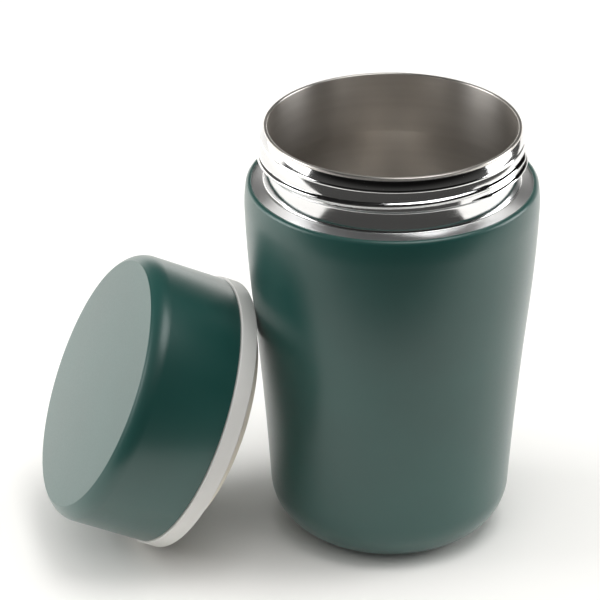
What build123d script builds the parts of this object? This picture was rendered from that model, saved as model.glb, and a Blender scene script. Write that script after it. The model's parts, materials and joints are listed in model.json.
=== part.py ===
from build123d import *

import os
from math import cos, radians, sin, sqrt

# Wide-mouth insulated food jar: a double-walled steel jar, and its screw lid taken off and leaned
# against the wall. Millimetres, +Z up; the origin is the centre of the ring that the jar stands on.

os.makedirs("parts", exist_ok=True)

# ------------------------------------------------------------------ driving dimensions: neck
neck_radius = 43.2          # outside of the bare neck's plain band; every other radius follows from it
neck_height = 20.3          # neck above the painted shell
neck_wall = 0.5
neck_fillet = 0.8           # at the foot of the neck
ledge_width = 4.5           # bare ledge between neck and paint
ledge_rise = 1.2            # the ledge is higher at the neck than under the paint edge
lap_clearance = 0.2         # between the collar's hidden edge and the shell's rounded edge
lip_height = 0.9            # rolled lip over the top of the neck
lip_overhang = 0.2          # lip proud of the neck
lip_rounding = 0.35
swell_width = 1.6           # the threaded part of the neck stands this far proud of the plain band
swell_rise = 8.8            # threaded part above the painted shell
swell_shoulder = 1.0        # height of the shoulder under it
swell_inner_rounding = 0.3  # that shoulder's roundings, on the inner face of the wall
swell_drop = 8.5            # the neck has its full width this far below the lip's top
collar_land = 0.3           # straight edge of the collar under the lip

# ------------------------------------------------------------------ driving dimensions: painted shell
land_width = 0.7            # flat top of the painted shell, round the ledge
edge_rounding = 1.1         # radial run of the rounded edge outside it
edge_drop = 1.3             # the same along the axis
shoulder_swell = 0.5        # the wall swells this much from the shoulder down to the widest place
shoulder_drop = 8.2
flank_inset = 2.6           # the wall is this much narrower where it leans out most
flank_drop = 36.0
flank_z = 85.0              # height where the wall leans out most
foot_inset = 23.6           # the standing ring is this much narrower again
foot_rounding = 17.8        # rounding from that ring up into the wall
foot_lean = 3.6             # degrees that the wall leans out just above the rounding
shell_wall = 0.6

# ------------------------------------------------------------------ driving dimensions: thread
thread_starts = 2
thread_lead = 7.0
thread_turns = 0.65         # of each ridge
thread_height = 0.9         # ridge proud of the swelled neck
thread_half_width = 1.1     # ridge along the axis
thread_rise = 8.3           # centre of a ridge above the painted shell, where it starts
thread_start_angle = 304.0  # degrees about +Z
thread_clearance = 0.35     # between the ridges' crest and the lid's skirt

# ------------------------------------------------------------------ driving dimensions: inner vessel
vessel_wall = 0.5
vacuum_gap = 4.6            # between the two walls
vessel_bottom_z = 8.0       # underside of the vessel
vessel_rounding = 10.0
vessel_widest_drop = 9.0    # the vessel is widest this far below the shell's widest place
vessel_extra_gap = 0.4      # added to the vacuum gap at that height
vessel_neck_drop = 0.6      # the vessel has narrowed to the neck this far below the collar
foil_thickness = 0.2

# ------------------------------------------------------------------ driving dimensions: bottom
bottom_wall = 0.6
standing_width = 2.6        # flat ring that touches the table
recess_height = 2.4         # hollow under the bottom
recess_slope = 1.6          # radial run of the recess wall
dimple_radius = 4.5
dimple_slope = 2.5          # radial run of the dimple's side
dimple_depth = 1.0
evacuation_hole_radius = 1.0
solder_depth = 0.6          # solder in the dimple
getter_radius = 5.0
getter_height = 1.6
getter_offset = 13.0
cover_wall = 0.5
cover_clearance = 0.2       # radial, at the top of the recess
cover_rise = 0.5            # cover's face above the table
cover_rim = 1.0

# ------------------------------------------------------------------ driving dimensions: lid
skirt_wall = 0.8            # liner's skirt, outside the thread
liner_fit = 0.05            # liner in cap, disc in plug, foam in both
lid_wall = 0.6              # painted cap
lid_corner_width = 3.2      # rounded top corner, radial
lid_corner_height = 6.0     # the same, along the axis
top_step = 0.3              # the flat top stands this far above the corner
band_proud = 0.65           # white band outside the cap
band_height = 5.7
band_edge = 0.4             # rounding of the band's edges
band_gap = 0.3              # groove between band and cap
seat_rise = 0.5             # rim above the painted shell when the lid is screwed home
lid_headroom = 0.4          # over the jar's lip when the lid is screwed home
liner_web = 1.6             # ceiling of the liner
liner_fillet = 0.8
plug_clearance = 2.9        # between the plug and the jar's mouth
plug_wall = 1.6
plug_depth = 4.8            # plug and gasket below the rim
disc_thickness = 1.4
disc_inset = 0.2            # disc's face above the gasket's
disc_rim_height = 1.4       # disc's rim inside the plug's wall
disc_rim_width = 1.6
gasket_height = 2.6
gasket_ledge = 0.9          # gasket inside the plug's outer face
gasket_proud = 0.3          # gasket outside the plug
fin_clearance = 0.3         # between the gasket's thin lip and the jar's mouth
gasket_fin_thickness = 0.6
gasket_fit = 0.05
tongue_height = 0.9         # disc's tongue in the gasket's groove
tongue_width = 0.5
tongue_z = 0.5              # tongue above the disc's face
lid_ridge_height = 0.75     # lid's thread ridges, into the skirt's bore
lid_ridge_half_width = 0.6
lid_ridge_turns = 0.5
foam_depth = 15.0           # foam over the liner
foam_gap = 0.3              # under the cap's top

# ------------------------------------------------------------------ driving dimensions: lid at rest
lid_heading = 194.0         # degrees about +Z, the way the lid's top faces
lid_tilt = 25.0             # degrees that the lid's axis points up
lid_side_offset = 8.9       # the rim's centre stands this far to one side of the jar's axis
lean_gap = 0.55             # level gap between the plug's edge and the jar's wall

# ------------------------------------------------------------------ radii and heights that follow
paint_edge_radius = neck_radius + ledge_width
land_radius = paint_edge_radius + land_width
shoulder_radius = land_radius + edge_rounding
widest_radius = shoulder_radius + shoulder_swell
flank_radius = widest_radius - flank_inset
foot_radius = flank_radius - foot_inset
widest_z = flank_z + flank_drop
shoulder_z = widest_z + shoulder_drop
land_z = shoulder_z + edge_drop
jar_height = land_z + neck_height
swell_foot_z = land_z + swell_rise
swell_top_z = jar_height - swell_drop
thread_start_z = land_z + thread_rise
vessel_widest_z = widest_z - vessel_widest_drop

neck_bore = neck_radius - neck_wall
mouth_radius = neck_bore - vessel_wall
swell_radius = neck_radius + swell_width
skirt_bore = swell_radius + thread_height + thread_clearance
liner_radius = skirt_bore + skirt_wall
lid_radius = liner_radius + liner_fit + lid_wall
band_radius = lid_radius + band_proud
plug_radius = mouth_radius - plug_clearance
gasket_bore_radius = plug_radius - gasket_ledge
gasket_radius = plug_radius + gasket_proud
gasket_fin_radius = mouth_radius - fin_clearance
ceiling = neck_height - seat_rise + lid_headroom
liner_top = ceiling + liner_web
foam_top = liner_top + foam_depth
lid_height = foam_top + foam_gap + lid_wall + top_step

# ------------------------------------------------------------------ jar: painted outer shell
with BuildPart() as outer_shell:
    with BuildSketch(Plane.XZ):
        with BuildLine():
            foot = CenterArc((foot_radius, foot_rounding), foot_rounding, -90, 90 - foot_lean)
            lower = TangentArc(foot @ 1, (flank_radius, flank_z), tangent=foot % 1)
            upper = TangentArc(lower @ 1, (widest_radius, widest_z), tangent=lower % 1)
            turn = TangentArc(upper @ 1, (shoulder_radius, shoulder_z), tangent=upper % 1)
            edge = TangentArc(turn @ 1, (land_radius, land_z), tangent=turn % 1)
            Line(edge @ 1, (paint_edge_radius, land_z))
            offset(amount=shell_wall, side=Side.LEFT)
        make_face()
    revolve(axis=Axis.Z)
outer_shell.part.label = "outer_shell"
flank_lean = (lower % 1).X / (lower % 1).Y

# ------------------------------------------------------------------ jar: bare neck with rolled thread
neck_top_z = jar_height - lip_height
ledge_z = land_z - shell_wall
lap_radius = land_radius - lap_clearance
collar_foot_z = ledge_z + ledge_rise - neck_wall


def helix_on(frame, radius, turns):
    """Thread path about the frame's Z axis, starting on its X axis."""
    with BuildLine() as line:
        Helix(thread_lead, thread_lead * turns, radius)
    return line.line.moved(frame.location)


def thread_paths(frame, radius, turns):
    """Path of each of the thread's ridges, with the plane of the ridge's section at its start."""
    paths = []
    for start in range(thread_starts):
        turned = Plane(frame.location * Location((0, 0, 0), (0, 0, start * 360 / thread_starts)))
        path = helix_on(turned, radius, turns)
        paths.append((path, Plane(path @ 0, x_dir=turned.x_dir, z_dir=path % 0)))
    return paths


thread_frame = Plane.XY.offset(thread_start_z).rotated((0, 0, thread_start_angle))

with BuildPart() as neck_collar:
    with BuildSketch(Plane.XZ):
        with BuildLine():
            swell_rounding = neck_wall + swell_inner_rounding
            Line((lap_radius, ledge_z), (paint_edge_radius, ledge_z))
            FilletPolyline(
                (paint_edge_radius, ledge_z),
                (neck_radius, ledge_z + ledge_rise),
                (neck_radius, swell_foot_z - swell_shoulder),
                (swell_radius, swell_foot_z),
                (swell_radius, swell_top_z),
                radius=(neck_fillet, swell_rounding, swell_rounding),
            )
            collar_foot = (neck_radius, neck_top_z - collar_land)
            TangentArc((swell_radius, swell_top_z), collar_foot, tangent=(0, 1))
            Line(collar_foot, (neck_radius, neck_top_z))
            offset(amount=neck_wall, side=Side.LEFT)
        make_face()
    revolve(axis=Axis.Z)
    for thread_path, thread_end in thread_paths(thread_frame, swell_radius, thread_turns):
        with BuildSketch(thread_end):
            Ellipse(thread_height, thread_half_width)
        sweep(path=thread_path, is_frenet=True)
neck_collar.part.label = "neck_collar"

# ------------------------------------------------------------------ jar: inner vessel
vessel_inset = shell_wall + vacuum_gap
vessel_corner = foot_radius + foot_rounding - vessel_inset - vessel_rounding


def vessel_side():
    """Outer face of the vessel's side, from the bottom rounding up to its widest point."""
    rounding_centre = (vessel_corner, vessel_bottom_z + vessel_rounding)
    rounding = CenterArc(rounding_centre, vessel_rounding, -90, 90 - foot_lean)
    flank = (flank_radius - vessel_inset, flank_z)
    widest = (widest_radius - vessel_inset - vessel_extra_gap, vessel_widest_z)
    side = TangentArc(rounding @ 1, flank, tangent=rounding % 1)
    return TangentArc(side @ 1, widest, tangent=side % 1)


with BuildPart() as inner_vessel:
    with BuildSketch(Plane.XZ):
        with BuildLine():
            Line((0, vessel_bottom_z), (vessel_corner, vessel_bottom_z))
            top = vessel_side()
            neck_foot = (neck_bore, collar_foot_z - vessel_neck_drop)
            narrowing = TangentArc(top @ 1, neck_foot, tangent=top % 1)
            Line(narrowing @ 1, (neck_bore, neck_top_z))
            offset(amount=vessel_wall, side=Side.LEFT)
        make_face()
        with BuildLine():
            lip_radius = neck_radius + lip_overhang
            Polyline(
                (mouth_radius, neck_top_z),
                (lip_radius, neck_top_z),
                (lip_radius, jar_height),
                (mouth_radius, jar_height),
                close=True,
            )
        make_face()
        lip_corners = vertices().filter_by_position(Axis.Y, jar_height - 0.01, jar_height + 0.01)
        fillet(lip_corners, lip_rounding)
    revolve(axis=Axis.Z)
inner_vessel.part.label = "inner_vessel"

with BuildPart() as radiation_foil:
    with BuildSketch(Plane.XZ):
        with BuildLine():
            vessel_side()
            offset(amount=foil_thickness, side=Side.RIGHT)
        make_face()
    revolve(axis=Axis.Z)
radiation_foil.part.label = "radiation_foil"

# ------------------------------------------------------------------ jar: bottom
recess_foot = foot_radius - standing_width
recess_radius = recess_foot - recess_slope
dimple_z = recess_height + dimple_depth

with BuildPart() as outer_bottom:
    with BuildSketch(Plane.XZ):
        with BuildLine():
            Polyline(
                (foot_radius, 0),
                (recess_foot, 0),
                (recess_radius, recess_height),
                (dimple_radius, recess_height),
                (dimple_radius - dimple_slope, dimple_z),
                (evacuation_hole_radius, dimple_z),
            )
            offset(amount=bottom_wall, side=Side.RIGHT)
        make_face()
    revolve(axis=Axis.Z)
outer_bottom.part.label = "outer_bottom"

with BuildPart() as evacuation_seal:
    with BuildSketch(Plane.XZ):
        with BuildLine():
            solder_radius = dimple_radius - dimple_slope * (1 - solder_depth / dimple_depth)
            Polyline(
                (0, dimple_z - solder_depth),
                (solder_radius, dimple_z - solder_depth),
                (dimple_radius - dimple_slope, dimple_z),
                (evacuation_hole_radius, dimple_z),
                (evacuation_hole_radius, dimple_z + bottom_wall),
                (0, dimple_z + bottom_wall),
                close=True,
            )
        make_face()
    revolve(axis=Axis.Z)
evacuation_seal.part.label = "evacuation_seal"

with BuildPart() as getter:
    with BuildSketch(Plane.XY.offset(recess_height + bottom_wall)):
        with Locations((getter_offset, 0)):
            Circle(getter_radius)
    extrude(amount=getter_height)
getter.part.label = "getter"

with BuildPart() as base_cover:
    cover_radius = recess_radius - cover_clearance
    with BuildSketch(Plane.XY.offset(cover_rise)):
        Circle(cover_radius)
    extrude(amount=cover_wall)
    with BuildSketch(Plane.XY.offset(cover_rise + cover_wall)):
        Circle(cover_radius)
        Circle(cover_radius - cover_rim, mode=Mode.SUBTRACT)
    extrude(amount=recess_height - cover_rise - cover_wall)
base_cover.part.label = "base_cover"

# ------------------------------------------------------------------ lid: where it leans
tilt = radians(lid_tilt)
heading = radians(lid_heading)
rim_height = (band_radius - band_edge) * cos(tilt) + band_edge - band_edge * sin(tilt)

# the plug's edge leans on the wall where the edge's circle passes the jar's axis
edge_rise = sqrt(gasket_radius**2 - lid_side_offset**2)
edge_z = rim_height - plug_depth * sin(tilt) + edge_rise * cos(tilt)
wall_radius = flank_radius + (edge_z - flank_z) * flank_lean
rim_reach = wall_radius + lean_gap + plug_depth * cos(tilt) + edge_rise * sin(tilt)

lid_away = Vector(cos(heading), sin(heading), 0)
lid_level = Vector(-sin(heading), cos(heading), 0)
lid_up = lid_away * cos(tilt) + Vector(0, 0, sin(tilt))
rim_centre = lid_away * rim_reach - lid_level * lid_side_offset + Vector(0, 0, rim_height)

lid_frame = Plane(origin=rim_centre, x_dir=lid_level, z_dir=lid_up)
lid_section = Plane(origin=rim_centre, x_dir=lid_level, z_dir=lid_level.cross(lid_up))
lid_axis = Axis(rim_centre, lid_up)

# ------------------------------------------------------------------ lid: painted cap
cap_edge = band_height + band_gap
corner_foot = lid_height - top_step - lid_corner_height
flat_radius = lid_radius - lid_corner_width

with BuildPart() as lid_shell:
    with BuildSketch(lid_section):
        with BuildLine():
            cap_side = Line((lid_radius, cap_edge), (lid_radius, corner_foot))
            step_foot = (flat_radius, lid_height - top_step)
            corner = TangentArc(cap_side @ 1, step_foot, tangent=cap_side % 1)
            Polyline(corner @ 1, (flat_radius - top_step, lid_height), (0, lid_height))
            offset(amount=lid_wall, side=Side.LEFT)
        make_face()
    revolve(axis=lid_axis)
lid_shell.part.label = "lid_shell"

# ------------------------------------------------------------------ lid: white liner with the thread
plug_bore = plug_radius - plug_wall
gasket_top = gasket_height - plug_depth
plug_end = gasket_top + gasket_fit

# the lid screwed home has its ridges midway between the neck's
lid_ridge_start = thread_rise - seat_rise - thread_lead / thread_starts / 2
ridge_frame = lid_frame.offset(lid_ridge_start)

with BuildPart() as lid_liner:
    with BuildSketch(lid_section):
        with BuildLine():
            Polyline(
                (skirt_bore, 0),
                (band_radius, 0),
                (band_radius, band_height),
                (liner_radius, band_height),
                (liner_radius, liner_top),
                (plug_bore, liner_top),
                (plug_bore, plug_end),
                (plug_radius, plug_end),
                (plug_radius, ceiling),
                (skirt_bore, ceiling),
                close=True,
            )
        make_face()
        near_band = vertices().filter_by_position(Axis.X, band_radius - 0.01, band_radius + 0.01)
        fillet(near_band, band_edge)
        at_ceiling = vertices().filter_by_position(Axis.Y, ceiling - 0.01, ceiling + 0.01)
        fillet(at_ceiling, liner_fillet)
    revolve(axis=lid_axis)
    for ridge_path, ridge_end in thread_paths(ridge_frame, skirt_bore, lid_ridge_turns):
        with BuildSketch(ridge_end):
            Ellipse(lid_ridge_height, lid_ridge_half_width)
        sweep(path=ridge_path, is_frenet=True)
lid_liner.part.label = "lid_liner"

# ------------------------------------------------------------------ lid: disc that closes the plug
disc_face = disc_inset - plug_depth
disc_rim_radius = plug_bore - liner_fit
disc_neck_radius = gasket_bore_radius - gasket_fit
tongue_foot = disc_face + tongue_z
tongue_radius = disc_neck_radius + tongue_width
disc_top = plug_end + disc_rim_height
disc_pocket_radius = disc_rim_radius - disc_rim_width

with BuildPart() as plug_disc:
    with BuildSketch(lid_section):
        with BuildLine():
            Polyline(
                (0, disc_face),
                (disc_neck_radius, disc_face),
                (disc_neck_radius, tongue_foot),
                (tongue_radius, tongue_foot),
                (tongue_radius, tongue_foot + tongue_height),
                (disc_neck_radius, tongue_foot + tongue_height),
                (disc_neck_radius, plug_end),
                (disc_rim_radius, plug_end),
                (disc_rim_radius, disc_top),
                (disc_pocket_radius, disc_top),
                (disc_pocket_radius, disc_face + disc_thickness),
                (0, disc_face + disc_thickness),
                close=True,
            )
        make_face()
    revolve(axis=lid_axis)
plug_disc.part.label = "plug_disc"

# ------------------------------------------------------------------ lid: gasket round the plug's end
with BuildPart() as main_gasket:
    with BuildSketch(lid_section):
        with BuildLine():
            groove_radius = tongue_radius + gasket_fit
            Polyline(
                (gasket_bore_radius, -plug_depth),
                (gasket_radius, -plug_depth),
                (gasket_radius, gasket_top - gasket_fin_thickness),
                (gasket_fin_radius, gasket_top - gasket_fin_thickness),
                (gasket_fin_radius, gasket_top),
                (gasket_bore_radius, gasket_top),
                (gasket_bore_radius, tongue_foot + tongue_height + gasket_fit),
                (groove_radius, tongue_foot + tongue_height + gasket_fit),
                (groove_radius, tongue_foot - gasket_fit),
                (gasket_bore_radius, tongue_foot - gasket_fit),
                close=True,
            )
        make_face()
    revolve(axis=lid_axis)
main_gasket.part.label = "main_gasket"

# ------------------------------------------------------------------ lid: foam between liner and cap
foam_chamfer_foot = corner_foot - lid_wall
foam_flat_radius = flat_radius - lid_wall - foam_gap

with BuildPart() as lid_insulation:
    with BuildSketch(lid_section):
        with BuildLine():
            Polyline(
                (0, disc_top),
                (plug_bore - liner_fit, disc_top),
                (plug_bore - liner_fit, liner_top),
                (liner_radius, liner_top),
                (liner_radius, foam_chamfer_foot),
                (foam_flat_radius, foam_top),
                (0, foam_top),
                close=True,
            )
        make_face()
    revolve(axis=lid_axis)
lid_insulation.part.label = "lid_insulation"

# ------------------------------------------------------------------ write the pieces
pieces = [
    outer_shell,
    neck_collar,
    inner_vessel,
    radiation_foil,
    outer_bottom,
    evacuation_seal,
    getter,
    base_cover,
    lid_shell,
    lid_liner,
    plug_disc,
    main_gasket,
    lid_insulation,
]
for piece in pieces:
    export_step(piece.part, f"parts/{piece.part.label}.step")

print("rim centre", rim_centre, "lid axis", lid_up, "mouth radius", mouth_radius)
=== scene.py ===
"""Wide-mouth insulated food jar with a bare threaded neck, and its screw lid leaned against it."""

import json
import logging
import math
from dataclasses import dataclass
from enum import Enum

import bmesh
import bpy
from mathutils import Matrix, Vector


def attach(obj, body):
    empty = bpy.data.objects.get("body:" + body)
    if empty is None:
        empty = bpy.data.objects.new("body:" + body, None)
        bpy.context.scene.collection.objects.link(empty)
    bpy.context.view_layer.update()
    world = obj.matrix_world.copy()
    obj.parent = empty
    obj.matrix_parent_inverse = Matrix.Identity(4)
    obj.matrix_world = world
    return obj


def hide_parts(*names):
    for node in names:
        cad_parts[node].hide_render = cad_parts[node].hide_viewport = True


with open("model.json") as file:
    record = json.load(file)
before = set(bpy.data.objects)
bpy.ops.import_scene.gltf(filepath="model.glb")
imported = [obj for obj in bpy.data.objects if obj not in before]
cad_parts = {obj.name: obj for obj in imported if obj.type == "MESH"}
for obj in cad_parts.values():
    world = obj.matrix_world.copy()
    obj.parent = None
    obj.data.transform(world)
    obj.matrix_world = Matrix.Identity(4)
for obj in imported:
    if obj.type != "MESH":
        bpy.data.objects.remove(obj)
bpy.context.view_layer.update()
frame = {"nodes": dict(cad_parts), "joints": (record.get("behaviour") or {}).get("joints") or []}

log = logging.getLogger("food_jar")

Mesh = bmesh.types.BMesh
Socket = bpy.types.NodeSocket
Pair = tuple[float, float]
Triple = tuple[float, float, float]

MM = 0.001
SPIN_STEPS = 256
SHARP_ANGLE = math.radians(32)
SOFT_ANGLE = math.radians(50)  # for a piece whose small steps look rounded
MERGE = 1e-7  # metres between points that become one
SAME_POINT = 1e-6  # metres between a vertex and the corner that it stands on
ON_FACE = 0.01  # millimetres between a vertex and the face that it lies on
NOISE_LOW = 0.3  # nearly all values of a noise lie between these two
NOISE_HIGH = 0.7


class Body(Enum):
    """The bodies that pieces ride on."""

    JAR = "jar"
    LID = "lid"
    LID_SEAL = "lid_seal"


class Turned(Enum):
    """Which axis a piece was turned about."""

    JAR_AXIS = "jar"
    LID_AXIS = "lid"


# ---------------------------------------------------------------------------- placing the lid
def lid_matrix() -> Matrix:
    """Placement of the lid: its rim's centre is the origin and its axis is Z.

    Returns:
        Matrix from the lid's own frame to the row's frame.
    """
    joint = next(joint for joint in frame["joints"] if joint["name"] == "lid_turn")
    axis = Vector(joint["axis"]).normalized()
    level = Vector((0, 0, 1)).cross(axis).normalized()
    third = axis.cross(level)
    turn = Matrix((level, third, axis)).transposed().to_4x4()
    return Matrix.Translation(Vector(joint["pos_m"])) @ turn


# ---------------------------------------------------------------------------- turned shapes
class Section:
    """Half section of a turned piece, drawn step by step in the plane of radius and height.

    The guide path is what is drawn. The vertices stand beside it by the inset, to its left, so that
    the two faces of a wall come from the same path.
    """

    def __init__(self, mesh: Mesh, start: Pair, inset: float = 0.0) -> None:
        """Starts a path.

        Args:
            mesh: Mesh that takes the vertices and edges.
            start: Radius and height of the first point, in millimetres.
            inset: Distance of the vertices from the guide path, in millimetres.
        """
        self.mesh = mesh
        self.inset = inset
        self.guide = Vector(start)
        self.heading = Vector((1.0, 0.0))
        self.tip: bmesh.types.BMVert | None = None
        self.first: bmesh.types.BMVert | None = None

    def _beside(self) -> Vector:
        """Finds the vertex that belongs to the guide point.

        Returns:
            Its place, in metres.
        """
        left = Vector((-self.heading.y, self.heading.x))
        spot = self.guide + left * self.inset
        return Vector((spot.x, 0.0, spot.y)) * MM

    def _begin(self) -> bmesh.types.BMVert:
        """Makes the first vertex when the path has none yet.

        Returns:
            The last vertex of the path.
        """
        if self.tip is None:
            self.tip = self.mesh.verts.new(self._beside())
            self.first = self.tip
        return self.tip

    def line(self, radius: float, height: float) -> "Section":
        """Goes straight to a point.

        Args:
            radius: Radius of the point, in millimetres.
            height: Height of the point, in millimetres.

        Returns:
            This section.
        """
        end = Vector((radius, height))
        self.heading = (end - self.guide).normalized()
        tip = self._begin()
        self.guide = end
        grown = bmesh.ops.extrude_vert_indiv(self.mesh, verts=[tip])
        self.tip = grown["verts"][0]
        self.tip.co = self._beside()
        return self

    def arc(self, radius: float, height: float, steps: int = 12) -> "Section":
        """Goes to a point on the arc that is tangent to the path so far.

        Args:
            radius: Radius of the point, in millimetres.
            height: Height of the point, in millimetres.
            steps: Number of edges on the arc.

        Returns:
            This section.
        """
        tip = self._begin()
        end = Vector((radius, height))
        chord = end - self.guide
        along = self.heading.dot(chord)
        across = self.heading.x * chord.y - self.heading.y * chord.x
        angle = 2.0 * math.atan2(across, along)
        size = chord.length / (2.0 * math.sin(angle / 2.0))
        centre = self.guide + Vector((-self.heading.y, self.heading.x)) * size
        spun = bmesh.ops.spin(
            self.mesh,
            geom=[tip],
            cent=Vector((centre.x, 0.0, centre.y)) * MM,
            axis=(0.0, -1.0, 0.0),
            angle=angle,
            steps=steps,
            use_merge=False,
        )
        self.tip = next(v for v in spun["geom_last"] if isinstance(v, bmesh.types.BMVert))
        self.guide = end
        self.heading = Matrix.Rotation(angle, 2) @ self.heading
        return self

    def through(self, points: list[Pair]) -> "Section":
        """Goes straight from point to point.

        Args:
            points: Radius and height of each point, in millimetres.

        Returns:
            This section.
        """
        for radius, height in points:
            self.line(radius, height)
        return self

    def up(self, radius: float, start: float, end: float, rows: int) -> "Section":
        """Goes along the axis in many short steps, for a face that takes a thread.

        Args:
            radius: Radius of the face, in millimetres.
            start: Height where it starts, in millimetres.
            end: Height where it ends, in millimetres.
            rows: Number of steps.

        Returns:
            This section.
        """
        for row in range(1, rows + 1):
            self.line(radius, start + (end - start) * row / rows)
        return self

    def join(self, other: bmesh.types.BMVert) -> None:
        """Closes the path with an edge to another vertex."""
        self.mesh.edges.new((self.tip, other))


def turned(mesh: Mesh, steps: int = SPIN_STEPS) -> None:
    """Spins the section in the mesh about Z and makes its faces point outwards.

    Args:
        mesh: Mesh that holds a section and nothing else.
        steps: Number of steps round the axis.
    """
    bmesh.ops.spin(
        mesh,
        geom=mesh.verts[:] + mesh.edges[:],
        cent=(0.0, 0.0, 0.0),
        axis=(0.0, 0.0, 1.0),
        angle=2.0 * math.pi,
        steps=steps,
        use_merge=True,
        use_duplicate=False,
    )
    bmesh.ops.remove_doubles(mesh, verts=mesh.verts[:], dist=MERGE)
    bmesh.ops.dissolve_degenerate(mesh, edges=mesh.edges[:], dist=MERGE)
    bmesh.ops.recalc_face_normals(mesh, faces=mesh.faces[:])


def rounded(mesh: Mesh, corners: list[Pair], size: float, segments: int = 3) -> None:
    """Rounds corners of a section before it is spun.

    Args:
        mesh: Mesh that holds the section.
        corners: Radius and height of each corner, in millimetres.
        size: Size of the rounding, in millimetres.
        segments: Edges on each rounding.
    """
    spots = [Vector((r, 0.0, z)) * MM for r, z in corners]
    chosen = [v for v in mesh.verts if any((v.co - s).length < SAME_POINT for s in spots)]
    bmesh.ops.bevel(
        mesh,
        geom=chosen,
        offset=size * MM,
        offset_type="OFFSET",
        segments=segments,
        profile=0.5,
        affect="VERTICES",
        material=-1,
    )


def finished_object(
    mesh: Mesh,
    name: str,
    body: Body,
    material: bpy.types.Material,
    nodes: tuple[str, ...],
    place: Matrix | None = None,
    angle: float = SHARP_ANGLE,
) -> bpy.types.Object:
    """Turns a bmesh into a piece of the object.

    Args:
        mesh: The bmesh, which is freed.
        name: Name of the piece.
        body: Body that it rides on.
        material: Its finish.
        nodes: CAD nodes that it stands for.
        place: Matrix that brings it into the row's frame.
        angle: Edges sharper than this stay sharp.

    Returns:
        The object.
    """
    if place is not None:
        bmesh.ops.transform(mesh, matrix=place, verts=mesh.verts[:])
    data = bpy.data.meshes.new(name)
    mesh.to_mesh(data)
    mesh.free()
    data.shade_smooth()
    data.set_sharp_from_angle(angle=angle)
    data.materials.append(material)
    piece = bpy.data.objects.new(name, data)
    bpy.context.scene.collection.objects.link(piece)
    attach(piece, body.value)
    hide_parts(*nodes)
    log.info("%s: %d faces, rides on %s", name, len(data.polygons), body.value)
    return piece


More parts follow.
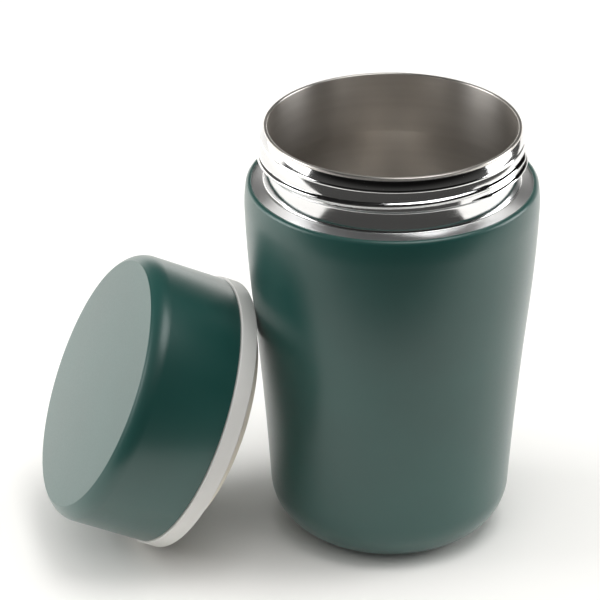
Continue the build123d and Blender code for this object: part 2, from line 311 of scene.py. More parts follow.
# ---------------------------------------------------------------------------- finishes
class Finish:
    """Node tree of one material, with the few steps that all the finishes share."""

    def __init__(self, name: str) -> None:
        """Makes the material and finds its shader.

        Args:
            name: Name of the material.
        """
        self.material = bpy.data.materials.new(name)
        self.material.use_nodes = True
        self.tree = self.material.node_tree
        self.shader = self.tree.nodes["Principled BSDF"]

    def add(self, kind: str, **settings: object) -> bpy.types.Node:
        """Adds a node.

        Args:
            kind: Type of the node.
            **settings: Its properties, or, for a name that it lacks, values of its input sockets.

        Returns:
            The node.
        """
        node = self.tree.nodes.new(kind)
        for key, value in settings.items():
            if hasattr(node, key):
                setattr(node, key, value)
            else:
                node.inputs[key.replace("_", " ").title()].default_value = value
        return node

    def link(self, source: Socket, target: Socket) -> None:
        """Links two sockets."""
        self.tree.links.new(source, target)

    def coordinates(self, about: Turned = Turned.JAR_AXIS) -> Socket:
        """Coordinates with Z on the axis that the piece was turned about.

        Args:
            about: The axis.

        Returns:
            Vector socket, in metres.
        """
        source = self.add("ShaderNodeTexCoord").outputs["Object"]
        if about is Turned.JAR_AXIS:
            return source
        placing = self.add("ShaderNodeMapping", vector_type="TEXTURE")
        place = lid_matrix()
        placing.inputs["Location"].default_value = place.translation
        placing.inputs["Rotation"].default_value = place.to_euler()
        self.link(source, placing.inputs["Vector"])
        return placing.outputs["Vector"]

    def lathe_coordinates(self, about: Turned, drift: float = 0.02) -> Socket:
        """Coordinates that hardly change round the axis, for lines that a lathe or a brush leaves.

        Args:
            about: The axis.
            drift: How much the lines change on the way round.

        Returns:
            Vector socket of radius, drift and height.
        """
        parts = self.add("ShaderNodeSeparateXYZ")
        self.link(self.coordinates(about), parts.inputs[0])
        flat = self.add("ShaderNodeCombineXYZ")
        self.link(parts.outputs["X"], flat.inputs["X"])
        self.link(parts.outputs["Y"], flat.inputs["Y"])
        radius = self.add("ShaderNodeVectorMath", operation="LENGTH")
        self.link(flat.outputs[0], radius.inputs[0])
        slow = self.add("ShaderNodeVectorMath", operation="SCALE")
        slow.inputs["Scale"].default_value = drift
        self.link(flat.outputs[0], slow.inputs[0])
        lathe = self.add("ShaderNodeCombineXYZ")
        self.link(radius.outputs["Value"], lathe.inputs["X"])
        self.link(parts.outputs["Z"], lathe.inputs["Z"])
        total = self.add("ShaderNodeVectorMath", operation="ADD")
        self.link(lathe.outputs[0], total.inputs[0])
        self.link(slow.outputs["Vector"], total.inputs[1])
        return total.outputs["Vector"]

    def noise(self, vector: Socket, scale: float, detail: float = 2.0) -> Socket:
        """Noise between 0 and 1.

        Args:
            vector: Coordinates.
            scale: Number of lumps per metre.
            detail: Octaves.

        Returns:
            Value socket.
        """
        node = self.add("ShaderNodeTexNoise", scale=scale, detail=detail)
        self.link(vector, node.inputs["Vector"])
        return node.outputs["Fac"]

    def between(self, value: Socket, low: float, high: float) -> Socket:
        """Maps noise round its middle onto a range.

        Args:
            value: Noise.
            low: Result where the noise is low.
            high: Result where it is high.

        Returns:
            Value socket.
        """
        ends = {"from_min": NOISE_LOW, "from_max": NOISE_HIGH, "to_min": low, "to_max": high}
        node = self.add("ShaderNodeMapRange", **ends)
        self.link(value, node.inputs["Value"])
        return node.outputs["Result"]

    def tint(self, value: Socket, low: Triple, high: Triple) -> Socket:
        """Colour between two colours.

        Args:
            value: Noise.
            low: Colour where the noise is low.
            high: Colour where it is high.

        Returns:
            Colour socket.
        """
        ramp = self.add("ShaderNodeValToRGB")
        places = (NOISE_LOW, NOISE_HIGH)
        for element, place, colour in zip(ramp.color_ramp.elements, places, (low, high)):
            element.position = place
            element.color = (*colour, 1.0)
        self.link(value, ramp.inputs["Fac"])
        return ramp.outputs["Color"]

    def bump(self, height: Socket, depth: float) -> Socket:
        """Bump of a given depth.

        Args:
            height: Value between 0 and 1.
            depth: Depth of the bumps, in metres.

        Returns:
            Normal socket.
        """
        node = self.add("ShaderNodeBump")
        node.inputs["Strength"].default_value = 1.0
        node.inputs["Distance"].default_value = depth
        self.link(height, node.inputs["Height"])
        return node.outputs["Normal"]

    def below(
        self,
        vector: Socket,
        height: float,
        value: float,
        otherwise: Socket,
        border_half: float = 0.0004,
    ) -> Socket:
        """Constant value below a height, with a soft border, and another value above it.

        Args:
            vector: Coordinates with the height as Z.
            height: Where the border is, in metres.
            value: Value below it.
            otherwise: Value above it.
            border_half: Half the border's width, in metres.

        Returns:
            Value socket.
        """
        parts = self.add("ShaderNodeSeparateXYZ")
        self.link(vector, parts.inputs[0])
        border = self.add("ShaderNodeMapRange", interpolation_type="SMOOTHSTEP")
        border.inputs["From Min"].default_value = height - border_half
        border.inputs["From Max"].default_value = height + border_half
        self.link(parts.outputs["Z"], border.inputs["Value"])
        mix = self.add("ShaderNodeMix", data_type="FLOAT")
        mix.inputs["A"].default_value = value
        self.link(border.outputs["Result"], mix.inputs["Factor"])
        self.link(otherwise, mix.inputs["B"])
        return mix.outputs["Result"]

    def set(self, **values: float | tuple[float, ...]) -> None:
        """Sets constant values on the shader's sockets.

        Args:
            **values: Value of each socket, by its name with underscores for spaces.
        """
        names = {socket.name.lower().replace(" ", "_"): socket for socket in self.shader.inputs}
        for key, value in values.items():
            names[key].default_value = value


@dataclass(frozen=True)
class SatinPaint:
    """Deep green satin lacquer with a soft sheen on pressed steel."""

    name: str
    about: Turned
    shade: Triple = (0.006, 0.062, 0.052)
    light_shade: Triple = (0.008, 0.074, 0.062)
    metallic: float = 0.1
    roughness: Pair = (0.38, 0.44)
    lumps: float = 28.0
    peel: float = 1400.0
    peel_depth: float = 2.0e-6
    specular: float = 0.45
    coat: float = 0.65
    coat_roughness: float = 0.3
    coat_ior: float = 1.5
    sheen: float = 0.2
    sheen_roughness: float = 0.3

    def material(self) -> bpy.types.Material:
        """Builds the material.

        Returns:
            The lacquer.
        """
        finish = Finish(self.name)
        spot = finish.coordinates(self.about)
        cloud = finish.noise(spot, self.lumps, 3.0)
        grain = finish.noise(spot, self.peel, 2.0)
        finish.link(finish.tint(cloud, self.shade, self.light_shade), finish.shader.inputs["Base Color"])
        finish.link(finish.between(grain, *self.roughness), finish.shader.inputs["Roughness"])
        finish.link(finish.bump(grain, self.peel_depth), finish.shader.inputs["Normal"])
        finish.set(
            metallic=self.metallic,
            specular_ior_level=self.specular,
            coat_weight=self.coat,
            coat_roughness=self.coat_roughness,
            coat_ior=self.coat_ior,
            sheen_weight=self.sheen,
            sheen_roughness=self.sheen_roughness,
        )
        return finish.material


@dataclass(frozen=True)
class TurnedSteel:
    """Stainless steel with the fine rings that polishing or brushing on a lathe leaves."""

    name: str
    about: Turned = Turned.JAR_AXIS
    dark: Triple = (0.79, 0.79, 0.79)
    light: Triple = (0.87, 0.87, 0.87)
    roughness: Pair = (0.07, 0.13)
    rings: float = 900.0
    rings_per_band: float = 6.0
    ring_depth: float = 2.5e-6
    brushed: float = 0.0
    brush_turn: float = 0.25  # a quarter turn, so that a highlight stretches across the rings
    matte_below: float = 0.0
    matte_roughness: float = 0.34

    def material(self) -> bpy.types.Material:
        """Builds the material.

        Returns:
            The steel.
        """
        finish = Finish(self.name)
        lathe = finish.lathe_coordinates(self.about)
        rings = finish.noise(lathe, self.rings, 3.0)
        bands = finish.noise(lathe, self.rings / self.rings_per_band, 1.0)
        finish.link(finish.tint(bands, self.dark, self.light), finish.shader.inputs["Base Color"])
        roughness = finish.between(rings, *self.roughness)
        if self.matte_below:
            roughness = finish.below(lathe, self.matte_below, self.matte_roughness, roughness)
        finish.link(roughness, finish.shader.inputs["Roughness"])
        finish.link(finish.bump(rings, self.ring_depth), finish.shader.inputs["Normal"])
        finish.set(metallic=1.0)
        if self.brushed:
            tangent = finish.add("ShaderNodeTangent", direction_type="RADIAL", axis="Z")
            finish.link(tangent.outputs["Tangent"], finish.shader.inputs["Tangent"])
            finish.set(anisotropic=self.brushed, anisotropic_rotation=self.brush_turn)
        return finish.material


@dataclass(frozen=True)
class Moulded:
    """Moulded plastic or silicone with a faint grain."""

    name: str
    about: Turned = Turned.LID_AXIS
    dark: Triple = (0.72, 0.71, 0.68)
    light: Triple = (0.78, 0.77, 0.74)
    roughness: Pair = (0.34, 0.44)
    lumps: float = 60.0
    grain: float = 2200.0
    grain_depth: float = 3.0e-6

    def material(self) -> bpy.types.Material:
        """Builds the material.

        Returns:
            The plastic or silicone.
        """
        finish = Finish(self.name)
        spot = finish.coordinates(self.about)
        cloud = finish.noise(spot, self.lumps, 2.0)
        grain = finish.noise(spot, self.grain, 2.0)
        finish.link(finish.tint(cloud, self.dark, self.light), finish.shader.inputs["Base Color"])
        finish.link(finish.between(grain, *self.roughness), finish.shader.inputs["Roughness"])
        finish.link(finish.bump(grain, self.grain_depth), finish.shader.inputs["Normal"])
        return finish.material


# ---------------------------------------------------------------------------- threads
@dataclass(frozen=True)
class Thread:
    """Rolled thread: rounded ridges that climb round the axis and fade out at their ends.

    The ridges start evenly spaced round the axis, each less than a full turn long.
    """

    start: float
    turns: float
    rise: float
    half_width: float
    angle: float = 0.0
    starts: int = 2
    lead: float = 7.0
    fade: float = math.radians(14.0)
    crest_power: float = 2.6
    flank_power: float = 1.3

    def height_at(self, angle: float, height: float) -> float:
        """How far the ridges stand out at one place.

        Args:
            angle: Angle about the axis, in radians.
            height: Height, in millimetres.

        Returns:
            Distance in millimetres.
        """
        lap = 2.0 * math.pi
        end = self.turns * lap
        most = 0.0
        for number in range(self.starts):
            travel = (angle - self.angle - number * lap / self.starts) % lap
            off = abs(height - self.start - self.lead * travel / lap) / self.half_width
            if travel > end or off >= 1.0:
                continue
            fade = min(1.0, travel / self.fade, (end - travel) / self.fade)
            fade = fade * fade * (3.0 - 2.0 * fade)
            most = max(most, self.rise * fade * (1.0 - off**self.crest_power) ** self.flank_power)
        return most


# ---------------------------------------------------------------------------- the jar
@dataclass
class PaintedShell:
    """The jar's pressed outer shell, from its standing ring up to the rounded edge round the ledge."""

    foot: float = 23.8
    foot_rounding: float = 17.8
    lean: float = math.radians(3.6)
    flank: Pair = (47.4, 85.0)
    widest: Pair = (50.0, 121.0)
    shoulder: Pair = (49.5, 129.2)
    edge: Pair = (48.4, 130.5)
    land: Pair = (47.7, 130.5)
    wall: float = 0.6
    land_rounding: float = 0.2

    def wall_face(self, mesh: Mesh, inset: float) -> Section:
        """Draws one face of the wall from the foot to the land.

        Args:
            mesh: Mesh that takes it.
            inset: Distance inwards from the outer face.

        Returns:
            The section, with its two ends.
        """
        side = self.foot + self.foot_rounding * math.cos(self.lean)
        rise = self.foot_rounding * (1.0 - math.sin(self.lean))
        face = Section(mesh, (self.foot, 0.0), inset)
        face.arc(side, rise, 24).arc(*self.flank, 24).arc(*self.widest, 24)
        face.arc(*self.shoulder, 12).arc(*self.edge, 10).line(*self.land)
        return face

    def build(self, paint: bpy.types.Material) -> bpy.types.Object:
        """Builds and dresses the shell.

        Args:
            paint: Its finish.

        Returns:
            The shell.
        """
        mesh = bmesh.new()
        outer = self.wall_face(mesh, 0.0)
        inner = self.wall_face(mesh, self.wall)
        outer.join(inner.tip)
        mesh.edges.new((outer.first, inner.first))
        rounded(mesh, [self.land], self.land_rounding)
        turned(mesh)
        return finished_object(mesh, "jar_shell", Body.JAR, paint, ("outer_shell",))


@dataclass
class NeckCollar:
    """The jar's bare steel neck: the ledge, a plain band, the swelled part with the thread, the flare."""

    radius: float = 43.2
    swell: float = 44.8
    top: float = 149.9
    land: float = 149.6
    flare_foot: float = 142.3
    swell_foot: float = 139.3
    band_top: float = 138.3
    ledge_inner: float = 131.1
    ledge_outer: float = 129.9
    paint_edge: float = 47.7
    lap: float = 48.2
    wall: float = 0.5
    fillet: float = 0.8
    shoulder_room: float = 1.0
    shoulder_rounding: float = 0.55
    shoulder_slack: float = 0.3
    crease: float = 146.3
    crease_rise: float = 0.16
    crease_half_width: float = 0.4
    thread: Thread = Thread(start=138.8, turns=0.65, rise=0.9, half_width=1.1, angle=math.radians(304.0))
    row: float = 0.13
    steps: int = 384

    def face(self, mesh: Mesh) -> Section:
        """Draws the outer face from the lap up to the top, with short rows where the thread goes.

        Args:
            mesh: Mesh that takes it.

        Returns:
            The section, with its two ends.
        """
        path = Section(mesh, (self.lap, self.ledge_outer)).line(self.paint_edge, self.ledge_outer)
        path.line(self.radius, self.ledge_inner).line(self.radius, self.band_top - self.shoulder_room)
        path.line(self.radius, self.band_top).line(self.swell, self.swell_foot)
        rows = round((self.flare_foot - self.swell_foot) / self.row)
        path.up(self.swell, self.swell_foot, self.flare_foot, rows)
        path.arc(self.radius, self.land, round((self.land - self.flare_foot) / self.row))
        return path.line(self.radius, self.top)

    def back(self, mesh: Mesh) -> Section:
        """Draws the inner face, which is out of sight.

        Args:
            mesh: Mesh that takes it.

        Returns:
            The section, with its two ends.
        """
        inside = self.radius - self.wall
        path = Section(mesh, (self.lap, self.ledge_outer - self.wall))
        path.line(self.paint_edge, self.ledge_outer - self.wall).line(inside, self.ledge_inner - self.wall)
        path.line(inside, self.band_top).line(self.swell - self.wall, self.swell_foot)
        path.line(self.swell - self.wall, self.flare_foot)
        return path.arc(inside, self.land, 12).line(inside, self.top)

    def roll(self, mesh: Mesh) -> None:
        """Presses the thread and the crease above it out of the wall.

        Args:
            mesh: Mesh of the collar.
        """
        for vert in mesh.verts:
            radius = math.hypot(vert.co.x, vert.co.y) / MM
            height = vert.co.z / MM
            if not self.band_top - self.shoulder_room < height < self.land:
                continue
            if radius < self.outside_at(height) - ON_FACE:
                continue
            rise = self.thread.height_at(math.atan2(vert.co.y, vert.co.x), height)
            off = abs(height - self.crease) / self.crease_half_width
            if off < 1.0:
                rise += self.crease_rise * (1.0 - off * off)
            scale = (radius + rise) / radius
            vert.co.x *= scale
            vert.co.y *= scale

    def outside_at(self, height: float) -> float:
        """Radius of the outer face at a height, without the thread; a little less at the shoulder.

        Args:
            height: Height, in millimetres.

        Returns:
            Radius in millimetres.
        """
        if height < self.swell_foot:
            return self.radius - self.wall * 0.5
        if height < self.flare_foot:
            return self.swell - self.shoulder_slack
        run = self.land - self.flare_foot
        inward = self.swell - self.radius
        size = (inward * inward + run * run) / (2.0 * inward)
        return self.swell - size + math.sqrt(size * size - (height - self.flare_foot) ** 2)

    def build(self, steel: bpy.types.Material) -> bpy.types.Object:
        """Builds and dresses the collar.

        Args:
            steel: Its finish.

        Returns:
            The collar.
        """
        mesh = bmesh.new()
        outer = self.face(mesh)
        inner = self.back(mesh)
        outer.join(inner.tip)
        mesh.edges.new((outer.first, inner.first))
        shoulder = [(self.radius, self.band_top), (self.swell, self.swell_foot)]
        rounded(mesh, [(self.radius, self.ledge_inner)], self.fillet, 5)
        rounded(mesh, shoulder, self.shoulder_rounding, 8)
        turned(mesh, self.steps)
        self.roll(mesh)
        return finished_object(
            mesh, "jar_neck", Body.JAR, steel, ("neck_collar",), angle=SOFT_ANGLE
        )


@dataclass
class InnerVessel:
    """The steel vessel that holds the food, with the lip that is rolled over the neck."""

    bottom: float = 8.0
    corner: float = 26.4
    rounding: float = 10.0
    lean: float = math.radians(3.6)
    flank: Pair = (42.2, 85.0)
    widest: Pair = (44.4, 112.0)
    neck_foot: Pair = (42.7, 130.0)
    neck_top: float = 149.9
    wall: float = 0.5
    lip: float = 43.4
    height: float = 150.8
    lip_rounding: float = 0.35

    def wall_face(self, mesh: Mesh, inset: float) -> Section:
        """Draws one face of the wall from the middle of the bottom up to the neck's top.

        Args:
            mesh: Mesh that takes it.
            inset: Distance inwards from the outer face.

        Returns:
            The section, with its two ends.
        """
        side = self.corner + self.rounding * math.cos(self.lean)
        rise = self.bottom + self.rounding * (1.0 - math.sin(self.lean))
        face = Section(mesh, (0.0, self.bottom), inset)
        face.line(self.corner, self.bottom).arc(side, rise, 16)
        face.arc(*self.flank, 20).arc(*self.widest, 12).arc(*self.neck_foot, 12)
        face.line(self.neck_foot[0], self.neck_top)
        return face

    def build(self, steel: bpy.types.Material) -> bpy.types.Object:
        """Builds and dresses the vessel.

        Args:
            steel: Its finish.

        Returns:
            The vessel.
        """
        mesh = bmesh.new()
        outer = self.wall_face(mesh, 0.0)
        inner = self.wall_face(mesh, self.wall)
        mouth = self.neck_foot[0] - self.wall
        outer.line(self.lip, self.neck_top).line(self.lip, self.height).line(mouth, self.height)
        outer.join(inner.tip)
        rounded(mesh, [(self.lip, self.height), (mouth, self.height)], self.lip_rounding, 5)
        turned(mesh)
        return finished_object(mesh, "jar_vessel", Body.JAR, steel, ("inner_vessel",))


@dataclass
class JarBottom:
    """The bottom plate with its hollow and its dimple, and the thin cover that sits in the hollow."""

    foot: float = 23.8
    ring: float = 2.6
    slope: float = 1.6
    hollow: float = 2.4
    wall: float = 0.6
    dimple: float = 4.5
    dimple_slope: float = 2.5
    dimple_depth: float = 1.0
    hole: float = 1.0
    cover: float = 19.4
    cover_face: float = 0.5
    cover_wall: float = 0.5
    cover_rim: float = 1.0
    step: float = 15.0
    step_rise: float = 0.25
    upper_share: float = 0.6  # of the wall: how far outside the lower face the upper one slopes
    plate_rounding: float = 0.5
    cover_rounding: float = 0.35
    step_rounding: float = 0.12

    def build_plate(self, steel: bpy.types.Material) -> bpy.types.Object:
        """Builds and dresses the plate.

        Args:
            steel: Its finish.

        Returns:
            The plate.
        """
        mesh = bmesh.new()
        inner = self.foot - self.ring
        corner = inner - self.slope
        dimple_top = self.hollow + self.dimple_depth
        upper = self.wall * self.upper_share
        path = Section(mesh, (self.foot, 0.0)).through([
            (inner, 0.0),
            (corner, self.hollow),
            (self.dimple, self.hollow),
            (self.dimple - self.dimple_slope, dimple_top),
            (self.hole, dimple_top),
            (self.hole, dimple_top + self.wall),
            (self.dimple - self.dimple_slope, dimple_top + self.wall),
            (self.dimple, self.hollow + self.wall),
            (corner + upper, self.hollow + self.wall),
            (inner + upper, self.wall),
            (self.foot, self.wall),
        ])
        path.join(path.first)
        rounded(mesh, [(inner, 0.0), (corner, self.hollow)], self.plate_rounding, 4)
        turned(mesh)
        return finished_object(mesh, "jar_bottom", Body.JAR, steel, ("outer_bottom",))

    def build_cover(self, steel: bpy.types.Material) -> bpy.types.Object:
        """Builds and dresses the cover, with a shallow pressed step.

        Args:
            steel: Its finish.

        Returns:
            The cover.
        """
        mesh = bmesh.new()
        face = self.cover_face
        inside = face + self.cover_wall
        step_foot = self.step + 2.0 * self.step_rise
        Section(mesh, (0.0, face + self.step_rise)).through([
            (self.step, face + self.step_rise),
            (step_foot, face),
            (self.cover, face),
            (self.cover, self.hollow),
            (self.cover - self.cover_rim, self.hollow),
            (self.cover - self.cover_rim, inside),
            (step_foot, inside),
            (self.step, inside + self.step_rise),
            (0.0, inside + self.step_rise),
        ])
        rounded(mesh, [(self.cover, face)], self.cover_rounding, 4)
        rounded(mesh, [(self.step, face + self.step_rise), (step_foot, face)], self.step_rounding)
        turned(mesh)
        return finished_object(mesh, "jar_base_cover", Body.JAR, steel, ("base_cover",))


# ---------------------------------------------------------------------------- the lid
@dataclass
class LidCap:
    """The lid's painted steel cap, with the slight step round its flat top."""

    radius: float = 47.5
    foot: float = 6.0
    corner_foot: float = 31.7
    step_radius: float = 44.3
    top: float = 38.0
    step: float = 0.3
    wall: float = 0.6
    foot_rounding: float = 0.15
    step_rounding: float = 0.25

    def wall_face(self, mesh: Mesh, inset: float) -> Section:
        """Draws one face of the cap from its lower edge to the middle of its top.

        Args:
            mesh: Mesh that takes it.
            inset: Distance inwards from the outer face.

        Returns:
            The section, with its two ends.
        """
        face = Section(mesh, (self.radius, self.foot), inset)
        face.line(self.radius, self.corner_foot).arc(self.step_radius, self.top - self.step, 16)
        face.line(self.step_radius - self.step, self.top).line(0.0, self.top)
        return face

    def build(self, paint: bpy.types.Material) -> bpy.types.Object:
        """Builds and dresses the cap.

        Args:
            paint: Its finish.

        Returns:
            The cap.
        """
        mesh = bmesh.new()
        outer = self.wall_face(mesh, 0.0)
        inner = self.wall_face(mesh, self.wall)
        mesh.edges.new((outer.first, inner.first))
        rounded(mesh, [(self.radius, self.foot)], self.foot_rounding)
        rounded(mesh, [(self.step_radius - self.step, self.top)], self.step_rounding, 5)
        turned(mesh)
        return finished_object(
            mesh, "lid_cap", Body.LID, paint, ("lid_shell",), lid_matrix(), SOFT_ANGLE
        )


@dataclass
class LidLiner:
    """The lid's white liner: the band under the cap, the threaded skirt, its ceiling and the plug's wall."""

    skirt_bore: float = 46.05
    radius: float = 46.85
    band: float = 48.15
    band_height: float = 5.7
    plug: float = 39.3
    plug_bore: float = 37.7
    plug_end: float = -2.15
    ceiling: float = 20.2
    web: float = 1.6
    edge: float = 0.4
    fillet: float = 0.8
    rounding_share: float = 0.9  # of the edge and the fillet, so that a rounding ends before its row
    plug_rounding: float = 0.3
    thread: Thread = Thread(start=6.05, turns=0.5, rise=0.75, half_width=0.6)
    rows: int = 120
    steps: int = 320

    def section(self, mesh: Mesh) -> None:
        """Draws the liner's closed section, with many short rows where the thread goes.

        Args:
            mesh: Mesh that takes it.
        """
        top = self.ceiling + self.web
        foot = self.edge
        head = self.ceiling - self.fillet
        path = Section(mesh, (self.skirt_bore, self.ceiling))
        path.line(self.skirt_bore, head).up(self.skirt_bore, head, foot, self.rows)
        path.through([
            (self.skirt_bore, 0.0),
            (self.band, 0.0),
            (self.band, self.band_height),
            (self.radius, self.band_height),
            (self.radius, top),
            (self.plug_bore, top),
            (self.plug_bore, self.plug_end),
            (self.plug, self.plug_end),
            (self.plug, self.ceiling),
        ])
        path.join(path.first)
        band_corners = [(self.skirt_bore, 0.0), (self.band, 0.0), (self.band, self.band_height)]
        ceiling_corners = [(self.plug, self.ceiling), (self.skirt_bore, self.ceiling)]
        rounded(mesh, band_corners, self.rounding_share * self.edge, 4)
        rounded(mesh, [(self.plug, self.plug_end)], self.plug_rounding)
        rounded(mesh, ceiling_corners, self.rounding_share * self.fillet, 4)

    def roll(self, mesh: Mesh) -> None:
        """Presses the thread inwards out of the skirt's bore.

        Args:
            mesh: Mesh of the liner.
        """
        for vert in mesh.verts:
            radius = math.hypot(vert.co.x, vert.co.y) / MM
            height = vert.co.z / MM
            if abs(radius - self.skirt_bore) > ON_FACE:
                continue
            if not self.edge <= height <= self.ceiling - self.fillet:
                continue
            scale = 1.0 - self.thread.height_at(math.atan2(vert.co.y, vert.co.x), height) / radius
            vert.co.x *= scale
            vert.co.y *= scale

    def build(self, plastic: bpy.types.Material) -> bpy.types.Object:
        """Builds and dresses the liner.

        Args:
            plastic: Its finish.

        Returns:
            The liner.
        """
        mesh = bmesh.new()
        self.section(mesh)
        turned(mesh, self.steps)
        self.roll(mesh)
        return finished_object(
            mesh, "lid_liner_skirt", Body.LID, plastic, ("lid_liner",), lid_matrix()
        )


@dataclass
class PlugEnd:
    """The end of the lid's plug: the disc that closes it and the silicone gasket round the disc."""

    disc: float = 38.35
    face: float = -4.6
    thickness: float = 1.4
    disc_rounding: float = 0.3
    groove: float = 34.5
    groove_depth: float = 0.3
    groove_half: float = 0.7
    groove_floor_half: float = 0.4
    groove_rounding: float = 0.1
    tongue: float = 38.85
    tongue_low: float = -4.1
    tongue_high: float = -3.2
    plug_end: float = -2.15
    rim: float = 37.65
    rim_top: float = -0.75
    pocket: float = 36.05
    gasket_bore: float = 38.4
    gasket: float = 39.6
    gasket_foot: float = -4.8
    gasket_top: float = -2.2
    fin: float = 41.9
    fin_thickness: float = 0.6
    gasket_rounding: float = 0.45
    fin_rounding: float = 0.28
    fit: float = 0.05

    def build_disc(self, plastic: bpy.types.Material) -> bpy.types.Object:
        """Builds and dresses the disc, with a shallow groove round its face.

        Args:
            plastic: Its finish.

        Returns:
            The disc.
        """
        mesh = bmesh.new()
        inner_face = self.face + self.thickness
        groove_inner = (self.groove - self.groove_half, self.face)
        groove_outer = (self.groove + self.groove_half, self.face)
        Section(mesh, (0.0, self.face)).through([
            groove_inner,
            (self.groove - self.groove_floor_half, self.face + self.groove_depth),
            (self.groove + self.groove_floor_half, self.face + self.groove_depth),
            groove_outer,
            (self.disc, self.face),
            (self.disc, self.tongue_low),
            (self.tongue, self.tongue_low),
            (self.tongue, self.tongue_high),
            (self.disc, self.tongue_high),
            (self.disc, self.plug_end),
            (self.rim, self.plug_end),
            (self.rim, self.rim_top),
            (self.pocket, self.rim_top),
            (self.pocket, inner_face),
            (0.0, inner_face),
        ])
        rounded(mesh, [(self.disc, self.face)], self.disc_rounding)
        rounded(mesh, [groove_inner, groove_outer], self.groove_rounding)
        turned(mesh)
        return finished_object(
            mesh, "lid_disc", Body.LID, plastic, ("plug_disc",), lid_matrix()
        )

    def build_gasket(self, silicone: bpy.types.Material) -> bpy.types.Object:
        """Builds and dresses the gasket, with its thin sealing lip.

        Args:
            silicone: Its finish.

        Returns:
            The gasket.
        """
        mesh = bmesh.new()
        fin_foot = self.gasket_top - self.fin_thickness
        groove = self.tongue + self.fit
        path = Section(mesh, (self.gasket_bore, self.gasket_foot)).through([
            (self.gasket, self.gasket_foot),
            (self.gasket, fin_foot),
            (self.fin, fin_foot),
            (self.fin, self.gasket_top),
            (self.gasket_bore, self.gasket_top),
            (self.gasket_bore, self.tongue_high + self.fit),
            (groove, self.tongue_high + self.fit),
            (groove, self.tongue_low - self.fit),
            (self.gasket_bore, self.tongue_low - self.fit),
        ])
        path.join(path.first)
        rounded(mesh, [(self.gasket, self.gasket_foot), (self.gasket, fin_foot)], self.gasket_rounding, 5)
        rounded(mesh, [(self.fin, fin_foot), (self.fin, self.gasket_top)], self.fin_rounding, 5)
        turned(mesh)
        return finished_object(
            mesh, "lid_gasket", Body.LID_SEAL, silicone, ("main_gasket",), lid_matrix()
        )


# ---------------------------------------------------------------------------- studio
@dataclass(frozen=True)
class Lamp:
    """A soft square lamp that faces the jar."""

    name: str
    place: Triple
    size: float
    power: float
    aim: Triple = (0.0, 0.0, 0.07)

    def hang(self) -> None:
        """Hangs the lamp."""
        data = bpy.data.lights.new(self.name, "AREA")
        data.shape = "SQUARE"
        data.size = self.size
        data.energy = self.power
        lamp = bpy.data.objects.new(self.name, data)
        lamp.location = self.place
        beam = Vector(self.aim) - Vector(self.place)
        lamp.rotation_euler = beam.to_track_quat("-Z", "Y").to_euler()
        bpy.context.scene.collection.objects.link(lamp)


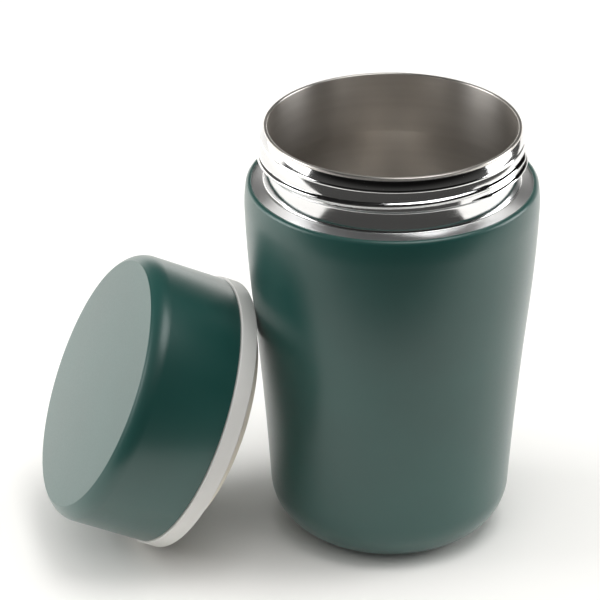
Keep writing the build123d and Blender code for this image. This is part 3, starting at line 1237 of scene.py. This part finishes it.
@dataclass
class Studio:
    """Pale floor, soft lamps, the surroundings that shine in the steel, and the camera.

    The ambient light comes from overhead. The glow behind the jar shows only in reflections, and both
    are brightest at their own side and fade away from it.
    """

    camera_place: Triple = (0.0, -1.068, 0.631)
    pitch: float = math.radians(27.106)
    heading: float = math.radians(-1.678)
    roll: float = math.radians(-0.193)
    lens: float = 209.46
    sensor: float = 36.0
    clip_near: float = 0.01
    clip_far: float = 100.0
    pale: Triple = (0.965, 0.95, 0.92)
    floor_front: float = -0.18
    floor_left: float = -1.0
    floor_right: float = 0.55
    floor_back: float = 3.0
    floor_drop: float = 0.0001
    floor_lumps: float = 6.0
    floor_darker: float = 0.99
    floor_roughness: float = 0.9
    ambient: float = 1.25
    ambient_side: Triple = (-0.2, -0.18, 0.963)
    ambient_from: float = 0.45
    ambient_to: float = 0.95
    ambient_rest: float = 0.06
    glow: float = 2.6
    glow_side: Triple = (-0.35, 0.937, 0.0)
    glow_from: float = 0.5
    glow_to: float = 0.72
    glow_rest: float = 0.07
    glow_height: float = 0.3
    glow_overhead: float = 0.04
    lamps: tuple[Lamp, ...] = (
        Lamp("lamp_right", (1.3, 0.3, 0.42), 0.8, 10.0),
        Lamp("lamp_left", (-1.3, 0.0, 0.55), 0.8, 10.0),
        Lamp("lamp_top", (0.35, -0.1, 1.4), 0.8, 7.5),
    )

    def floor(self) -> None:
        """Lays a plain pale floor."""
        mesh = bmesh.new()
        bmesh.ops.create_grid(mesh, x_segments=1, y_segments=1, size=1.0)
        middle = ((self.floor_left + self.floor_right) / 2.0, (self.floor_front + self.floor_back) / 2.0)
        half = ((self.floor_right - self.floor_left) / 2.0, (self.floor_back - self.floor_front) / 2.0)
        bmesh.ops.scale(mesh, vec=(*half, 1.0), verts=mesh.verts[:])
        bmesh.ops.translate(mesh, vec=(*middle, -self.floor_drop), verts=mesh.verts[:])
        data = bpy.data.meshes.new("floor")
        mesh.to_mesh(data)
        mesh.free()
        finish = Finish("floor_white")
        cloud = finish.noise(finish.coordinates(), self.floor_lumps)
        darker = tuple(self.floor_darker * value for value in self.pale)
        finish.link(finish.tint(cloud, darker, self.pale), finish.shader.inputs["Base Color"])
        finish.set(roughness=self.floor_roughness)
        data.materials.append(finish.material)
        floor = bpy.data.objects.new("floor", data)
        bpy.context.scene.collection.objects.link(floor)

    def world(self) -> None:
        """Gives pale surroundings that are dark on the camera's side."""
        world = bpy.data.worlds.new("studio")
        bpy.context.scene.world = world
        world.use_nodes = True
        tree = world.node_tree
        tree.nodes.clear()
        link = tree.links.new

        def add(kind: str, **values: object) -> bpy.types.Node:
            """Adds a node.

            Args:
                kind: Type of the node.
                **values: Its properties.

            Returns:
                The node.
            """
            node = tree.nodes.new(kind)
            for key, value in values.items():
                setattr(node, key, value)
            return node

        path = add("ShaderNodeLightPath")
        shiny = add("ShaderNodeMath", operation="MAXIMUM")
        link(path.outputs["Is Glossy Ray"], shiny.inputs[0])
        link(path.outputs["Is Transmission Ray"], shiny.inputs[1])
        seen = add("ShaderNodeMath", operation="MAXIMUM")
        link(path.outputs["Is Camera Ray"], seen.inputs[0])
        link(shiny.outputs[0], seen.inputs[1])

        spot = add("ShaderNodeTexCoord")
        parts = add("ShaderNodeSeparateXYZ")
        link(spot.outputs["Generated"], parts.inputs[0])

        def facing(side: Triple) -> Socket:
            """How far a ray points to one side, from -1 to 1.

            Args:
                side: Direction of that side.

            Returns:
                Value socket.
            """
            node = add("ShaderNodeVectorMath", operation="DOT_PRODUCT")
            link(spot.outputs["Generated"], node.inputs[0])
            node.inputs[1].default_value = side
            return node.outputs["Value"]

        def fade(along: Socket, start: float, end: float, first: float, last: float) -> Socket:
            """Smooth change of brightness along one direction.

            Args:
                along: Value that the brightness follows.
                start: Where the change starts.
                end: Where it ends.
                first: Brightness up to the start.
                last: Brightness from the end on.

            Returns:
                Value socket.
            """
            node = add("ShaderNodeMapRange", interpolation_type="SMOOTHSTEP")
            node.inputs["From Min"].default_value = start
            node.inputs["From Max"].default_value = end
            node.inputs["To Min"].default_value = first
            node.inputs["To Max"].default_value = last
            link(along, node.inputs["Value"])
            return node.outputs["Result"]

        behind = fade(facing(self.glow_side), self.glow_from, self.glow_to, self.glow_rest, self.glow)
        low = fade(parts.outputs["Z"], 0.0, self.glow_height, 1.0, self.glow_overhead)
        both = add("ShaderNodeMath", operation="MULTIPLY")
        link(behind, both.inputs[0])
        link(low, both.inputs[1])
        always = add("ShaderNodeMix", data_type="FLOAT")
        link(path.outputs["Is Camera Ray"], always.inputs["Factor"])
        link(both.outputs[0], always.inputs["A"])
        always.inputs["B"].default_value = 1.0

        backdrop = add("ShaderNodeBackground")
        backdrop.inputs["Color"].default_value = (*self.pale, 1.0)
        link(always.outputs["Result"], backdrop.inputs["Strength"])
        room = add("ShaderNodeBackground")
        room.inputs["Color"].default_value = (1.0, 1.0, 1.0, 1.0)
        least = self.ambient_rest * self.ambient
        soft = fade(facing(self.ambient_side), self.ambient_from, self.ambient_to, least, self.ambient)
        link(soft, room.inputs["Strength"])
        mix = add("ShaderNodeMixShader")
        link(seen.outputs[0], mix.inputs[0])
        link(room.outputs[0], mix.inputs[1])
        link(backdrop.outputs[0], mix.inputs[2])
        out = add("ShaderNodeOutputWorld")
        link(mix.outputs[0], out.inputs["Surface"])

    def camera(self) -> None:
        """Sets the camera up."""
        data = bpy.data.cameras.new("camera")
        data.lens = self.lens
        data.sensor_width = self.sensor
        data.clip_start = self.clip_near
        data.clip_end = self.clip_far
        camera = bpy.data.objects.new("camera", data)
        level = math.cos(self.pitch)
        ahead = Vector((
            math.sin(self.heading) * level,
            math.cos(self.heading) * level,
            -math.sin(self.pitch),
        ))
        right = ahead.cross(Vector((0.0, 0.0, 1.0))).normalized()
        up = right.cross(ahead)
        turn = Matrix((right, up, -ahead)).transposed().to_4x4()
        place = Matrix.Translation(Vector(self.camera_place))
        camera.matrix_world = place @ turn @ Matrix.Rotation(self.roll, 4, "Z")
        bpy.context.scene.collection.objects.link(camera)
        bpy.context.scene.camera = camera

    def build(self) -> None:
        """Builds the studio."""
        self.floor()
        self.world()
        for lamp in self.lamps:
            lamp.hang()
        self.camera()
        bpy.context.scene.view_settings.view_transform = "Standard"


def dress_node(name: str, material: bpy.types.Material) -> None:
    """Gives a CAD node a finish.

    Args:
        name: Name of the node.
        material: Its finish.
    """
    node = frame["nodes"][name]
    node.data.materials.clear()
    node.data.materials.append(material)
    log.info("%s: dressed", name)


def main() -> None:
    """Builds the jar, the lid and the studio."""
    logging.basicConfig(level=logging.INFO, format="%(name)s %(message)s")
    jar_paint = SatinPaint("jar_paint", Turned.JAR_AXIS).material()
    lid_paint = SatinPaint("lid_paint", Turned.LID_AXIS).material()
    neck_steel = TurnedSteel("neck_steel", matte_below=0.1312).material()
    vessel_steel = TurnedSteel(
        "vessel_steel",
        roughness=(0.31, 0.35),
        dark=(0.78, 0.745, 0.70),
        light=(0.82, 0.785, 0.74),
        rings=2500.0,
        ring_depth=0.6e-6,
        brushed=0.8,
    ).material()
    liner_plastic = Moulded("liner_plastic").material()
    disc_plastic = Moulded("disc_plastic", dark=(0.6, 0.59, 0.56), light=(0.66, 0.65, 0.62)).material()
    silicone = Moulded(
        "gasket_silicone", dark=(0.75, 0.70, 0.60), light=(0.80, 0.75, 0.66), roughness=(0.5, 0.6)
    ).material()
    PaintedShell().build(jar_paint)
    NeckCollar().build(neck_steel)
    InnerVessel().build(vessel_steel)
    LidCap().build(lid_paint)
    LidLiner().build(liner_plastic)
    PlugEnd().build_disc(disc_plastic)
    PlugEnd().build_gasket(silicone)
    JarBottom().build_plate(vessel_steel)
    JarBottom().build_cover(vessel_steel)
    foil = TurnedSteel("foil_copper", dark=(0.78, 0.42, 0.28), light=(0.88, 0.52, 0.36))
    dress_node("radiation_foil", foil.material())
    solder = TurnedSteel(
        "solder_grey", dark=(0.35, 0.35, 0.36), light=(0.45, 0.45, 0.46), roughness=(0.4, 0.5)
    )
    dress_node("evacuation_seal", solder.material())
    getter = TurnedSteel(
        "getter_grey", dark=(0.25, 0.25, 0.26), light=(0.32, 0.32, 0.33), roughness=(0.5, 0.6)
    )
    dress_node("getter", getter.material())
    foam = Moulded("foam_white", dark=(0.8, 0.79, 0.76), light=(0.86, 0.85, 0.82), roughness=(0.8, 0.9))
    dress_node("lid_insulation", foam.material())
    Studio().build()


if __name__ == "__main__":
    main()
